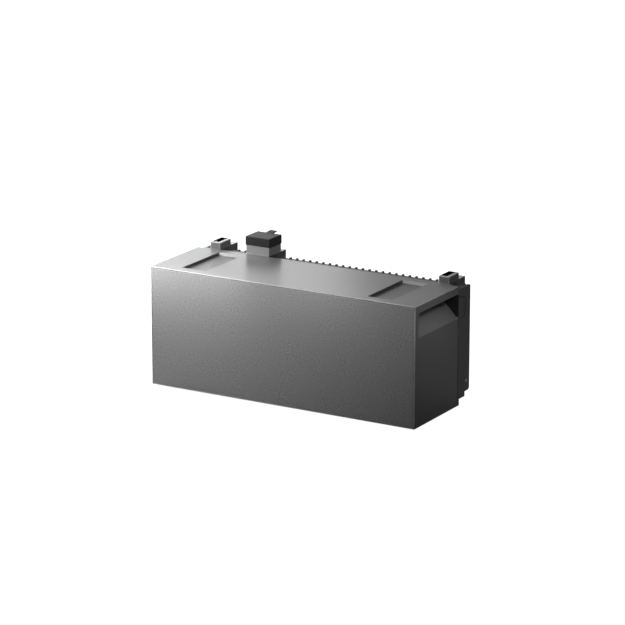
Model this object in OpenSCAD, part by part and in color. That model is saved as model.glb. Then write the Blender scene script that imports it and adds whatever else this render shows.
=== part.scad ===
// Home battery expansion module: a flat-fronted box of lithium cells that stacks on its neighbours.
// The front box is closed by a finned die-cast rear housing, which carries the stacking guides and
// the pass-through connector. Z = 0 is the underside of the stacking feet, Y runs to the rear.

/* [Box] */
// Width over the side covers
body_w = 670; // [640:1:720]
// Height of the box, bottom tray to top cover
body_h = 273; // [265:1:300]
// Depth of the front box, up to the seam with the rear housing
box_d = 196; // [190:1:220]
// Depth of the seam between the box and the rear housing
seam_gap = 2; // [1:0.5:3]
// Thickness of the front panel sheet
panel_t = 2; // [1.5:0.5:3]
// Depth of the front panel's turned-in rim
panel_rim = 12; // [8:1:13]
// Open joint round the front panel
panel_gap = 1; // [0.4:0.1:1.5]
// Thickness of the top cover sheet
cover_t = 3; // [2:0.5:3.5]
// Thickness of the side covers
side_t = 2.5; // [2:0.5:4]
// Thickness of the bottom tray sheet
tray_t = 2.5; // [2:0.5:3]
// Bevel on the panel's and the side covers' edges
edge_bevel = 1.6; // [0.4:0.2:1.8]
// Bevel round the top cover
cover_bevel = 2; // [0.6:0.2:2.2]

/* [Top pockets and feet] */
// Width of a stacking pocket in the top cover
pocket_w = 62; // [50:1:70]
// Distance from a pocket's far wall to the box's rear edge
pocket_back = 20; // [16:1:40]
// Depth of a stacking pocket
pocket_depth = 6; // [5:0.5:7]
// Distance from the side face to a pocket's centre
pocket_in = 99; // [95:1:110]
// Distance from the front to a pocket's near wall
pocket_y = 25; // [20:1:30]
// How far a pocket's rear wall leans back from its floor to its mouth
pocket_lean = 4; // [1:0.5:5]
// Thickness of a pocket's wall and floor
pocket_t = 2.5; // [2:0.5:3]
// Height of a stacking foot
foot_h = 5.5; // [4:0.5:6]
// Play of a foot in the pocket of the module below
foot_play = 1.5; // [1:0.5:3]

/* [Side grips] */
// Distance from the front to the near end of the grip
grip_y = 15; // [14:1:24]
// Distance from the box's top to the grip's roof
grip_drop = 18; // [17:1:22]
// Height of the grip's mouth
grip_h = 54; // [48:1:56]
// How far the grip reaches into the box
grip_depth = 44; // [36:1:45]
// Rise of the grip's ramp for each millimetre inwards
grip_slope = 1.06; // [0.9:0.02:1.1]
// Radius of the mouth's front corners
grip_r = 6; // [3:1:10]
// Wall of the grip's scoop
grip_t = 3; // [2:0.5:3]

/* [Rear housing] */
// Depth of the housing's floor behind the seam, to its outer face
pan_d = 46; // [40:1:52]
// Wall of the die casting
pan_t = 4; // [3:0.5:5]
// Thickness of the side cheeks
cheek_t = 6; // [5:0.5:8]
// Drop of the cheeks' top edge below the top cover
cheek_drop = 8; // [7:1:11]
// Depth of the cheeks behind the seam
cheek_d = 54; // [50:1:60]
// Underside of the housing near the box
pan_low = 14; // [13.5:0.5:16]
// Underside of the housing further back
pan_step = 25; // [22:1:28]
// Depth of the low part behind the seam
pan_low_d = 33; // [28:1:35]
// Drop of the housing's top below the cheeks' top edge
pan_top_drop = 1.5; // [0.5:0.5:3]
// Distance between two cooling fins
fin_pitch = 17; // [12:0.5:20]
// Thickness of a fin at its root
fin_root = 2.6; // [2:0.2:4]
// Thickness of a fin at its tip
fin_tip = 1.7; // [1.2:0.1:2]
// Height of the fins' top ends above the cheeks
fin_rise = 1; // [0:0.5:2]
// Radius of a fin's top and bottom corner
fin_r = 5; // [2:1:7]
// Depth of the whole object
total_d = 281; // [275:1:300]
// Drop of the rear columns' top below the top cover
column_drop = 0.5; // [0:0.5:2]

/* [Guides] */
// Distance from the side face to a guide's centre
guide_in = 41.5; // [39:0.5:47]
// Width of a guide
guide_w = 26; // [24:0.5:27]
// Length of a guide, front to back
guide_l = 48.5; // [46:0.5:50]
// Height of a guide
guide_h = 14.5; // [12:0.5:15]
// Distance from the housing's front edge to a guide's near face
guide_back = 6.5; // [6.5:0.5:8]
// Width of a guide's socket
socket_w = 17.4; // [14:0.2:18]
// Length of a guide's socket
socket_l = 41; // [34:0.5:41]
// Wall of the plastic liner in a socket
liner_t = 1.3; // [1:0.1:2]

/* [Connector] */
// Distance from the left side face to the connector's centre
conn_in = 152.8; // [145:0.2:165]
// Width of the connector's base
conn_w = 60.4; // [54:0.2:62]
// Length of the connector's base, front to back
conn_l = 52.5; // [46:0.5:54]
// Height of the connector's base
conn_h = 19; // [16:1:20]
// Distance from the housing's front edge to the connector's near face
conn_back = 9; // [7:0.5:10]
// Height of the collar that the cap sits over
collar_h = 9.5; // [8:0.5:10]
// Wall of the base and its collar
conn_t = 3; // [2.5:0.5:4]
// Height of the cap
cap_h = 20.5; // [18:0.5:24]
// Overhang of the cap past the base, to either side
cap_over = 2.2; // [1:0.1:3]
// Overhang of the cap past the base, to front and rear
cap_over_l = 0.8; // [0.4:0.1:3]
// Radius of the cap's upright corners
cap_r = 2.6; // [2:0.2:5]

/* [Cells] */
// Number of cells in the stack
cell_count = 16; // [14:2:16]
// Space between a side cover and the stack's end plate
stack_side = 28.5; // [28:0.5:60]
// Space between the front panel's face and the cells
stack_y = 20; // [17:1:22]
// Space between the cells and the box's rear edge
stack_back = 46; // [44:1:60]
// Space between the cells' cans and the top cover
head_room = 65; // [64:1:90]
// Thickness of the sheet between two cells
spacer_t = 0.8; // [0.5:0.1:1]

/* [Hidden] */
$fn = 48;

eps = 0.01;
half_w = body_w / 2;
inner_x = half_w - side_t;
front_y = -total_d / 2;
rim_y = box_d + seam_gap;
pan_y = rim_y + pan_d;
pan_floor = pan_y - pan_t;
cheek_y = rim_y + cheek_d;
low_y = rim_y + pan_low_d;
cheek_top = body_h - cheek_drop;
pan_top = cheek_top - pan_top_drop;
cheek_in = half_w - cheek_t;
plateau_z = body_h - column_drop;
cover_z = body_h - cover_t;
lip_y = rim_y + 5;
lip_t = 2.5;
lip_in = 9;
plateau_y = lip_y + 0.4;
tray_rear = rim_y + 7;
pocket_x = half_w - pocket_in;
pocket_l = box_d - pocket_y - pocket_back;
grip_low = body_h - grip_drop - grip_h;
guide_x = half_w - guide_in;
guide_y = rim_y + guide_back;
conn_x = conn_in - half_w;
conn_y = rim_y + conn_back;

// Rear frame: a ring that the housing screws to
frame_t = 3;
frame_y = box_d - frame_t;
frame_side = 24;
frame_low = 42;
frame_high = 33;

// Cell stack
pad_t = 2.5;
end_t = 6;
cell_z = tray_t + pad_t;
cell_h = cover_z - head_room - cell_z;
cell_w = box_d - stack_y - stack_back;
stack_half = inner_x - stack_side - end_t;
cell_pitch = (2 * stack_half + spacer_t) / cell_count;
cell_t = cell_pitch - spacer_t;
strap_t = 0.8;
strap_w = 16;
post_r = 7;
post_h = 4;
post_in = 25;
busbar_t = 2;
busbar_half = 8;
lead_x = stack_half - cell_t / 2;
lead_z = cell_z + cell_h + post_h;

// Power electronics, stood off the housing's floor
spreader_t = 6;
gap_pad_t = 1;
switch_t = 5;
board_t = 1.6;
board_back = pan_floor - spreader_t - gap_pad_t - switch_t;
board_front = board_back - board_t;
bar_t = 2;
bar_w = 10;

// Screws
m5_r = 2.5;
m5_head_r = 4.25;
m5_head_h = 5;
m4_r = 2;
m4_head_r = 3.6;
m4_head_h = 2.4;
screw_fit = 0.25;
thread_fit = 0.05;
hex_share = 0.48;
boss_r = 6;
rear_screw_in = 21.5;
rear_screw_rise = 22;
rear_screw_drop = 11.5;
// middle of the first gap between fins whose boss clears the connector's well
well_play = 5;
well_x = conn_w / 2 + well_play;
well_side = well_x - conn_x + pan_t + boss_r;
gap_x = (ceil(well_side / fin_pitch - 0.5) + 0.5) * fin_pitch;
rear_screw_x = [3.5 * fin_pitch, gap_x, half_w - rear_screw_in];
rear_screw_z = [pan_low + rear_screw_rise, pan_top - rear_screw_drop];

// Places the model from its front bottom edge onto its own frame
module place() {
    translate([0, front_y, foot_h]) children();
}

// Box between two corners
module box(low, high) {
    translate(low) cube(high - low);
}

// Upright prism from an outline in the width and height plane, running in depth
module along_y(y0, y1) {
    translate([0, y1, 0]) rotate([90, 0, 0]) linear_extrude(y1 - y0) children();
}

// Prism from an outline in the depth and height plane, running in width
module along_x(x0, x1) {
    translate([x0, 0, 0]) rotate([90, 0, 90]) linear_extrude(x1 - x0) children();
}

// Rectangle with round corners, centred
module round_rect(w, l, r) {
    square([w - 2 * r, l], center = true);
    square([w, l - 2 * r], center = true);
    for (x = [-1, 1], y = [-1, 1])
        translate([x * (w / 2 - r), y * (l / 2 - r)]) circle(r);
}

// Cylinder along the depth, from y0 to y1
module rod_y(x, z, r, y0, y1) {
    translate([x, y1, z]) rotate([90, 0, 0]) cylinder(r = r, h = y1 - y0);
}

// Cutter for a bevel along the width
module bevel_x(y, z, c, length) {
    translate([0, y, z]) rotate([45, 0, 0]) cube([length, c * sqrt(2), c * sqrt(2)], center = true);
}

// Cutter for a bevel along the depth
module bevel_y(x, z, c, length) {
    translate([x, 0, z]) rotate([0, 45, 0]) cube([c * sqrt(2), length, c * sqrt(2)], center = true);
}

// Cutter for an upright bevel
module bevel_z(x, y, c, length) {
    translate([x, y, 0]) rotate([0, 0, 45]) cube([c * sqrt(2), c * sqrt(2), length], center = true);
}

// Points of an arc
function arc(cx, cy, r, a0, a1, steps = 6) =
    [for (i = [0:steps]) [cx + r * cos(a0 + (a1 - a0) * i / steps), cy + r * sin(a0 + (a1 - a0) * i / steps)]];

// Flat panel with its rim turned in, and a bevel round the face
module front_panel() {
    x = half_w - side_t - panel_gap;
    z0 = tray_t + panel_gap / 2;
    z1 = cover_z - panel_gap / 2;
    color([0.5, 0.5, 0.5]) place() difference() {
        box([-x, 0, z0], [x, panel_rim, z1]);
        box([panel_t - x, panel_t, z0 + panel_t], [x - panel_t, panel_rim + 1, z1 - panel_t]);
        bevel_x(0, z0, edge_bevel / 2, 2 * x + 2);
        bevel_x(0, z1, edge_bevel / 2, 2 * x + 2);
        for (s = [-1, 1]) bevel_z(s * x, 0, edge_bevel / 2, 2 * body_h);
    }
}

// Sheet cover with two pressed pockets and a turned-down rear lip
module top_cover() {
    tongue_x = cheek_in - lip_in;
    color([0.6, 0.6, 0.6]) place() difference() {
        union() {
            box([-half_w, 0, cover_z], [half_w, box_d - 1, body_h]);
            box([-tongue_x, box_d - 2, cover_z], [tongue_x, lip_y, body_h]);
            box([-tongue_x, lip_y - lip_t, pan_top], [tongue_x, lip_y, cover_z + eps]);
            for (s = [-1, 1]) translate([s * pocket_x, pocket_y + pocket_l / 2, 0])
                box([-pocket_w / 2 - pocket_t, -pocket_l / 2 - pocket_t, body_h - pocket_depth - pocket_t],
                    [pocket_w / 2 + pocket_t, pocket_l / 2 + pocket_t + pocket_lean, body_h]);
        }
        for (s = [-1, 1]) translate([s * pocket_x, pocket_y + pocket_l / 2, 0])
            along_x(-pocket_w / 2, pocket_w / 2) polygon([
                [-pocket_l / 2, body_h - pocket_depth], [pocket_l / 2, body_h - pocket_depth],
                [pocket_l / 2 + pocket_lean, body_h], [pocket_l / 2 + pocket_lean, body_h + 1], [-pocket_l / 2, body_h + 1]
            ]);
        bevel_x(0, body_h, cover_bevel, 2 * body_w);
        bevel_x(lip_y, body_h, edge_bevel, 2 * body_w);
        for (s = [-1, 1]) bevel_y(s * half_w, body_h, cover_bevel, 3 * box_d);
        for (s = [-1, 1]) bevel_z(s * half_w, 0, edge_bevel, 3 * body_h);
    }
}

// Outline of the grip's hollow: bevelled lower lip, ramp, back wall and roof
module grip_outline(grow) {
    lip = grow > 0 ? 0 : 1.2;
    top = grip_low + grip_h + grow;
    drop = grow * sqrt(1 + grip_slope * grip_slope);
    back = half_w - grip_depth - grow;
    polygon([
        [half_w + 1, top],
        [back, top],
        [back, grip_low + grip_slope * (half_w - back) - drop],
        [half_w - lip, grip_low + grip_slope * lip - drop],
        [half_w, grip_low - lip - drop],
        [half_w + 1, grip_low - lip - drop]
    ]);
}

// Mouth of the grip in the side face, with round front corners, open at the seam
module grip_mouth() {
    z0 = grip_low - 3;
    z1 = grip_low + grip_h;
    polygon(concat(
        [[box_d + 5, z0], [box_d + 5, z1]],
        arc(grip_y + grip_r, z1 - grip_r, grip_r, 90, 180),
        [[grip_y, z0]]
    ));
}

// Cast side cover with a ramped lifting grip and flanges for the tray and the covers
flange_w = 18;
rim_flange_w = 10;
tray_screw_end = 28;
tray_screw_x = inner_x - flange_w / 2;
tray_screw_y = [tray_screw_end, box_d / 2, box_d - tray_screw_end];
module side_cover() {
    difference() {
        union() {
            along_x(inner_x, half_w) polygon([
                [0, 0], [tray_rear, 0], [tray_rear, pan_low - 1], [box_d, pan_low - 1], [box_d, cover_z], [0, cover_z]
            ]);
            intersection() {
                along_y(grip_y - grip_t, frame_y) grip_outline(grip_t);
                box([0, 0, 0], [inner_x + eps, box_d, body_h]);
            }
            // flanges: on the tray, under the top cover and behind the front panel's rim
            box([inner_x - flange_w, panel_rim, tray_t], [inner_x + eps, frame_y, tray_t + side_t]);
            box([inner_x - flange_w, panel_rim, cover_z - side_t], [inner_x + eps, frame_y, cover_z]);
            box([inner_x - rim_flange_w, panel_rim, tray_t], [inner_x + eps, panel_rim + side_t, cover_z]);
        }
        intersection() {
            along_y(grip_y, box_d + 5) grip_outline(0);
            along_x(0, half_w + 2) grip_mouth();
        }
        bevel_z(half_w, 0, edge_bevel, 3 * body_h);
        for (y = tray_screw_y) translate([tray_screw_x, y, 0]) cylinder(r = m4_r + thread_fit, h = 3 * side_t);
    }
}
module left_side_cover() {
    color([0.3, 0.3, 0.3]) place() mirror([1, 0, 0]) side_cover();
}
module right_side_cover() {
    color([0.3, 0.3, 0.3]) place() side_cover();
}

// Folded tray that closes the underside
front_fold_h = 22;
module bottom_tray() {
    fold_x = inner_x - flange_w - 2;
    color([0.35, 0.35, 0.35]) place() difference() {
        union() {
            box([-inner_x, 0, 0], [inner_x, tray_rear, tray_t]);
            box([-fold_x, panel_rim, 0], [fold_x, panel_rim + tray_t, front_fold_h]);
            box([-inner_x, tray_rear - tray_t, 0], [inner_x, tray_rear, pan_low - 0.5]);
        }
        for (s = [-1, 1], y = tray_screw_y) translate([s * tray_screw_x, y, 0]) {
            translate([0, 0, -1]) cylinder(r = m4_r + screw_fit, h = tray_t + 2);
            translate([0, 0, -eps]) cylinder(r1 = m4_head_r + screw_fit, r2 = m4_r + screw_fit, h = tray_t - 0.5);
        }
        for (s = [-1, 1], y = foot_screw_y) translate([s * pocket_x, y, -1])
            cylinder(r = m4_r + thread_fit, h = tray_t + 2);
        bevel_x(0, 0, edge_bevel / 2, 2 * body_w);
    }
}

// Countersunk screws from the tray into the side covers
module tray_screws() {
    color([0.7, 0.7, 0.7]) place() for (s = [-1, 1], y = tray_screw_y)
        translate([s * tray_screw_x, y, 0.2]) difference() {
            union() {
                cylinder(r1 = m4_head_r, r2 = m4_r, h = tray_t - 0.7);
                cylinder(r = m4_r, h = tray_t + side_t);
            }
            translate([0, 0, -eps]) cylinder(r = m4_head_r * hex_share, h = 1.2, $fn = 6);
        }
}

// Pads under the tray that drop into the pockets of the module below
foot_screw_end = 30;
foot_screw_y = [pocket_y + foot_screw_end, pocket_y + pocket_l - foot_screw_end];
foot_r = 4;
foot_bevel = 1.5;
foot_sink = m4_head_h + 0.6;
module stacking_feet() {
    w = pocket_w - 2 * foot_play;
    l = pocket_l - 2 * foot_play;
    y = pocket_y + pocket_l / 2;
    color([0.1, 0.1, 0.1]) place() for (s = [-1, 1]) difference() {
        translate([s * pocket_x, y, -foot_h]) linear_extrude(foot_h) round_rect(w, l, foot_r);
        for (e = [-1, 1]) {
            bevel_x(y + e * l / 2, -foot_h, foot_bevel, 2 * body_w);
            bevel_y(s * pocket_x + e * w / 2, -foot_h, foot_bevel, 3 * box_d);
        }
        for (v = foot_screw_y) translate([s * pocket_x, v, -foot_h - 1]) {
            cylinder(r = m4_r + screw_fit, h = foot_h + 2);
            cylinder(r = m4_head_r + 1, h = 1 + foot_sink);
        }
    }
}

// Pan-head screw pointing up, its head's underside at z = 0
module m4_screw(length) {
    difference() {
        union() {
            translate([0, 0, -m4_head_h]) cylinder(r = m4_head_r, h = m4_head_h);
            cylinder(r = m4_r, h = length);
        }
        translate([0, 0, -m4_head_h - eps]) cylinder(r = m4_head_r * hex_share, h = 1.4, $fn = 6);
    }
}
module foot_screws() {
    head = foot_sink - foot_h;
    color([0.7, 0.7, 0.7]) place() for (s = [-1, 1], v = foot_screw_y)
        translate([s * pocket_x, v, head]) m4_screw(tray_t - head);
}

// Ring at the back of the box that the rear housing is screwed to
module rear_frame() {
    color([0.55, 0.55, 0.55]) place() difference() {
        box([-inner_x, frame_y, tray_t], [inner_x, box_d, cover_z]);
        box([frame_side - inner_x, frame_y - 1, frame_low], [inner_x - frame_side, box_d + 1, cover_z - frame_high]);
        for (s = [-1, 1], x = rear_screw_x, z = rear_screw_z)
            rod_y(s * x, z, m5_r + thread_fit, frame_y - 1, box_d + 1);
    }
}

// Seal in the seam
gasket_in = 1.5;
gasket_w = 7;
module rear_gasket() {
    x = half_w - gasket_in;
    z0 = pan_low + gasket_in;
    z1 = pan_top - gasket_in;
    color([0.05, 0.05, 0.05]) place() difference() {
        box([-x, box_d, z0], [x, rim_y, z1]);
        box([gasket_w - x, box_d - 1, z0 + gasket_w], [x - gasket_w, rim_y + 1, z1 - gasket_w]);
    }
}

// Outer profile of the housing's pan, in the depth and height plane
module pan_profile(grow) {
    polygon([
        [rim_y - (grow < 0 ? 1 : 0), pan_low - grow],
        [low_y + grow, pan_low - grow],
        [low_y + grow, pan_step - grow],
        [pan_y + grow, pan_step - grow],
        [pan_y + grow, pan_top + grow],
        [rim_y - (grow < 0 ? 1 : 0), pan_top + grow]
    ]);
}

// Side profile of a cheek: stepped below, round at the top rear corner
module cheek_profile() {
    corner = 4;
    polygon(concat(
        [[rim_y, pan_low], [low_y, pan_low], [low_y, pan_step]],
        [[cheek_y - corner, pan_step], [cheek_y, pan_step + corner]],
        arc(cheek_y - corner, cheek_top - corner, corner, 0, 90),
        [[rim_y, cheek_top]]
    ));
}

// Side profile of a fin
module fin_profile() {
    polygon(concat(
        [[pan_floor, pan_step + 2]],
        arc(cheek_y - fin_r, pan_step + 2 + fin_r, fin_r, 270, 360),
        arc(cheek_y - fin_r, cheek_top + fin_rise - fin_r, fin_r, 0, 90),
        [[pan_floor, cheek_top + fin_rise]]
    ));
}

// Fins that stand clear of the columns
column_w = [guide_w, conn_w, guide_w];
column_x = [-guide_x, conn_x, guide_x];
function in_column(x) = len([for (i = [0:2]) if (abs(x - column_x[i]) < column_w[i] / 2 + fin_root + 1) 1]) > 0;
fin_max = floor((cheek_in - fin_root - 2) / fin_pitch);
module fins() {
    intersection() {
        union() for (i = [-fin_max:fin_max]) if (!in_column(i * fin_pitch)) translate([i * fin_pitch, 0, 0])
            linear_extrude(body_h) polygon([
                [-fin_root / 2, pan_y - pan_t / 2], [fin_root / 2, pan_y - pan_t / 2],
                [fin_tip / 2, cheek_y], [-fin_tip / 2, cheek_y]
            ]);
        along_x(-half_w, half_w) fin_profile();
    }
}

// Upright column behind the floor, with a sloped foot
module column(x, w) {
    along_x(x - w / 2, x + w / 2) polygon([
        [pan_floor, pan_step], [pan_y + 6, pan_step], [total_d, pan_step + total_d - pan_y - 6],
        [total_d, plateau_z - 1], [total_d - 1, plateau_z], [plateau_y, plateau_z],
        [plateau_y, pan_top - pan_t], [pan_floor, pan_top - pan_t]
    ]);
}

// Well in the underside where the connector of the module below comes up
well_top = 45;
well_y0 = conn_y - 4;
well_y1 = conn_y + conn_l + well_play;

// Blanking plug's outline in the cheek, a D that is open to the seam
plug_drop = 19;
plug_h = 50;
plug_high = cheek_top - plug_drop;
plug_low = plug_high - plug_h;
plug_reach = 32.5;
plug_r = 15;
plug_gap = 1.2;
module plug_outline(shrink, y0) {
    y = rim_y + plug_reach - shrink;
    polygon(concat(
        [[y0, plug_low + shrink]],
        arc(y - plug_r, plug_low + shrink + plug_r, plug_r, 270, 360),
        arc(y - plug_r, plug_high - shrink - plug_r, plug_r, 0, 90),
        [[y0, plug_high - shrink]]
    ));
}

// Earth screw's place on the cheek
earth_back = 40;
earth_rise = 23.5;
earth_y = rim_y + earth_back;
earth_z = pan_step + earth_rise;
earth_recess = 1.6;

// Finned die casting with cheeks, columns, screw bosses and the connector's well
duct = 4;
column_hole_low = 70;
column_hole_drop = 52.5;
column_hole_z = [column_hole_low, plateau_z - column_hole_drop];
column_hole_depth = 14;
vent_x = 120;
vent_r = 6;
vent_y = rim_y + pan_low_d / 2;
module rear_housing() {
    color([0.28, 0.28, 0.28]) place() difference() {
        union() {
            difference() {
                along_x(-half_w + eps, half_w - eps) pan_profile(0);
                along_x(-cheek_in, cheek_in) pan_profile(-pan_t);
            }
            for (s = [-1, 1]) along_x(s > 0 ? cheek_in : -half_w, s > 0 ? half_w : -cheek_in) cheek_profile();
            fins();
            for (i = [0:2]) column(column_x[i], column_w[i]);
            // walls of the well
            translate([conn_x, 0, 0]) {
                box([-well_x - pan_t, rim_y, pan_low], [well_x + pan_t, low_y, well_top + pan_t]);
                box([-well_x - pan_t, rim_y, pan_step], [well_x + pan_t, well_y1 + pan_t, well_top + pan_t]);
            }
            for (s = [-1, 1], x = rear_screw_x, z = rear_screw_z) rod_y(s * x, z, boss_r, rim_y, pan_floor + eps);
        }
        // well, open downwards
        box([conn_x - well_x, well_y0, 0], [conn_x + well_x, well_y1, well_top]);
        // passage for the plug's contacts through the well's ceiling
        box([conn_x - 20, conn_y + 12, well_top - 1], [conn_x + 20, conn_y + conn_l - 12, well_top + 2 * pan_t + 1]);
        // duct in the connector's column, open to the inside
        box([conn_x - conn_w / 2 + duct, pan_floor - 1, well_top + 2 * pan_t],
            [conn_x + conn_w / 2 - duct, total_d - duct, plateau_z - 2 * pan_t]);
        // passage under the connector's base
        box([conn_x - block_w / 2, conn_y + conn_l / 2 - block_l / 2, pan_top - pan_t - 1],
            [conn_x + block_w / 2, conn_y + conn_l / 2 + block_l / 2, plateau_z + 1]);
        for (s = [-1, 1], x = rear_screw_x, z = rear_screw_z) rod_y(s * x, z, m5_r + screw_fit, rim_y - 1, pan_y + 1);
        // tapped holes for the wall bracket
        for (s = [-1, 1], z = column_hole_z) rod_y(s * guide_x, z, m5_r, total_d - column_hole_depth, total_d + 1);
        for (s = [-1, 1], e = guide_screw_y)
            translate([s * guide_x + guide_screw_x, guide_y + e, plateau_z + guide_floor - guide_screw_l - 2])
                cylinder(r = m4_r + thread_fit, h = guide_screw_l);
        for (s = [-1, 1]) mirror([s > 0 ? 0 : 1, 0, 0]) {
            along_x(cheek_in - 1, half_w + 1) plug_outline(0, rim_y - 1);
            translate([half_w - earth_recess, earth_y, earth_z]) rotate([0, 90, 0])
                cylinder(r = m5_head_r + 0.4, h = 2 * earth_recess);
            translate([cheek_in - 1, earth_y, earth_z]) rotate([0, 90, 0])
                cylinder(r = m5_r + thread_fit, h = cheek_t + 2);
        }
        translate([vent_x, vent_y, pan_low - 1]) cylinder(r = vent_r, h = pan_t + 2);
    }
}

// Socket screws that hold the housing to the frame
module rear_screws() {
    color([0.7, 0.7, 0.7]) place() for (s = [-1, 1], x = rear_screw_x, z = rear_screw_z) difference() {
        union() {
            rod_y(s * x, z, m5_head_r, pan_y, pan_y + m5_head_h);
            rod_y(s * x, z, m5_r, frame_y, pan_y + eps);
        }
        translate([s * x, pan_y + m5_head_h + eps, z]) rotate([90, 0, 0])
            cylinder(r = m5_head_r * hex_share, h = 2.6, $fn = 6);
    }
}

// Plastic plugs that blank the bracket windows in the cheeks
module side_plugs() {
    color([0.25, 0.25, 0.25]) place() for (s = [-1, 1]) mirror([s > 0 ? 0 : 1, 0, 0]) {
        along_x(cheek_in, half_w - 0.3) plug_outline(plug_gap, rim_y);
        along_x(cheek_in - 2, cheek_in) plug_outline(-4, rim_y);
    }
}

// Bonding screws on the cheeks
module earth_screws() {
    color([0.75, 0.75, 0.75]) place() for (s = [-1, 1]) mirror([s > 0 ? 0 : 1, 0, 0])
        translate([half_w - earth_recess, earth_y, earth_z]) rotate([0, 90, 0]) difference() {
            union() {
                cylinder(r1 = m5_head_r, r2 = m5_head_r - 0.8, h = earth_recess);
                translate([0, 0, earth_recess - cheek_t]) cylinder(r = m5_r, h = cheek_t - earth_recess + eps);
            }
            translate([0, 0, earth_recess - 1.2]) cylinder(r = m5_head_r * hex_share, h = 2, $fn = 6);
        }
}

// Pressure vent in the housing's underside
module breather_vent() {
    color([0.1, 0.1, 0.1]) place() translate([vent_x, vent_y, 0]) difference() {
        union() {
            translate([0, 0, pan_low]) cylinder(r = vent_r - thread_fit, h = pan_t + 3);
            translate([0, 0, pan_low - 4]) cylinder(r = vent_r + 3, h = 4, $fn = 6);
        }
        translate([0, 0, pan_low - 4 - eps]) cylinder(r = vent_r - 2.5, h = 2);
    }
}

// Guide that takes the pin of the module above; its socket lies to the left of its centre
socket_x0 = 1.2;
socket_y0 = 6;
guide_floor = 3;
guide_r = 3;
guide_bevel = 1.2;
guide_screw_x = socket_x0 + socket_w / 2 - guide_w / 2;
guide_screw_y = [socket_y0 + 9, socket_y0 + socket_l - 9];
groove_count = 5;
groove_y = 7;
groove_pitch = 7.4;
groove_w = 4;
groove_t = 0.8;
module guide_socket() {
    translate([-guide_w / 2, guide_y, plateau_z]) difference() {
        union() {
            hull() {
                translate([guide_w / 2, guide_l / 2, 0]) linear_extrude(guide_h - guide_bevel)
                    round_rect(guide_w, guide_l, guide_r, $fn = 32);
                translate([guide_w / 2, guide_l / 2, 0]) linear_extrude(guide_h)
                    round_rect(guide_w - 2 * guide_bevel, guide_l - 2 * guide_bevel, guide_r - guide_bevel, $fn = 32);
            }
            translate([guide_w / 2, guide_l / 2, 0]) linear_extrude(2.2)
                round_rect(guide_w + 1, guide_l + 1, guide_r + 0.5);
        }
        box([socket_x0, socket_y0, guide_floor], [socket_x0 + socket_w, socket_y0 + socket_l, guide_h + 1]);
        // upright grooves in the long faces
        for (x = [0, guide_w], i = [0:groove_count - 1]) translate([x, groove_y + i * groove_pitch, 0])
            box([-groove_t, 0, 4], [groove_t, groove_w, guide_h - 3]);
        for (e = guide_screw_y) translate([socket_x0 + socket_w / 2, e, -1]) cylinder(r = m4_r + screw_fit, h = 9);
    }
}
module left_guide_socket() {
    color([0.5, 0.5, 0.5]) place() translate([-guide_x, 0, 0]) guide_socket();
}
module right_guide_socket() {
    color([0.5, 0.5, 0.5]) place() translate([guide_x, 0, 0]) guide_socket();
}

// Sleeves that line the sockets; the left one has a key, so a module can't be stacked reversed
module guide_liners() {
    w = socket_w;
    l = socket_l;
    color([0.03, 0.03, 0.03]) place() for (s = [-1, 1])
        translate([s * guide_x - guide_w / 2 + socket_x0, guide_y + socket_y0, plateau_z + guide_floor]) {
            difference() {
                cube([w, l, guide_h - guide_floor]);
                translate([liner_t, liner_t, -1]) cube([w - 2 * liner_t, l - 2 * liner_t, guide_h]);
            }
            if (s < 0) translate([w / 2 - 1.5, liner_t - eps, 4]) cube([3, 5, guide_h - guide_floor - 4]);
        }
}
guide_screw_l = 11;
module guide_screws() {
    color([0.7, 0.7, 0.7]) place() for (s = [-1, 1], e = guide_screw_y)
        translate([s * guide_x + guide_screw_x, guide_y + e, plateau_z + guide_floor]) rotate([180, 0, 0])
            m4_screw(guide_screw_l);
}

// Pins under the housing that enter the sockets of the module below
pin_play = 1;
pin_low = 3;
module guide_pins() {
    w = socket_w - 2 * liner_t - 2 * pin_play;
    y0 = guide_y + socket_y0 + liner_t + 6;
    y1 = guide_y + socket_y0 + socket_l - liner_t - pin_play;
    color([0.55, 0.55, 0.55]) place() for (s = [-1, 1])
        along_x(s * guide_x + guide_screw_x - w / 2, s * guide_x + guide_screw_x + w / 2) polygon([
            [y0, pan_low], [y0, pin_low + 3], [y0 + 2, pin_low], [y1 - 2, pin_low], [y1, pin_low + 3],
            [y1, pan_step], [low_y, pan_step], [low_y, pan_low]
        ]);
}

// Shroud of the pass-through connector, with a collar for the cap
collar_in = 2;
collar_r = 1.2;
collar_w = conn_w - 2 * collar_in;
collar_l = conn_l - 2 * collar_in;
shroud_w = collar_w - 2 * conn_t;
shroud_l = collar_l - 2 * conn_t;
shroud_r = 1.5;
shroud_floor = 3;
block_side = 3.7;
block_end = 3.25;
block_w = shroud_w - 2 * block_side;
block_l = shroud_l - 2 * block_end;
module connector_base() {
    color([0.5, 0.5, 0.5]) place() translate([conn_x, conn_y + conn_l / 2, plateau_z]) difference() {
        union() {
            linear_extrude(conn_h) round_rect(conn_w, conn_l, collar_r);
            linear_extrude(conn_h + collar_h) round_rect(collar_w, collar_l, collar_r);
        }
        translate([0, 0, shroud_floor]) linear_extrude(conn_h + collar_h)
            round_rect(shroud_w, shroud_l, shroud_r);
        translate([0, 0, -1]) linear_extrude(2 * shroud_floor) square([block_w, block_l], center = true);
    }
}

// Insulator that holds the contacts, standing in the shroud and through its floor
block_play = 0.2;
block_top = 15;
block_low = 18;
slot_w = 9;
slot_l = 2.6;
power_x = [-13.5, 0, 13.5];
signal_x = [-16.5, -11, -5.5, 0, 5.5, 11, 16.5];
power_y = -8;
signal_y = 9;
pin_w = 1.4;

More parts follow.
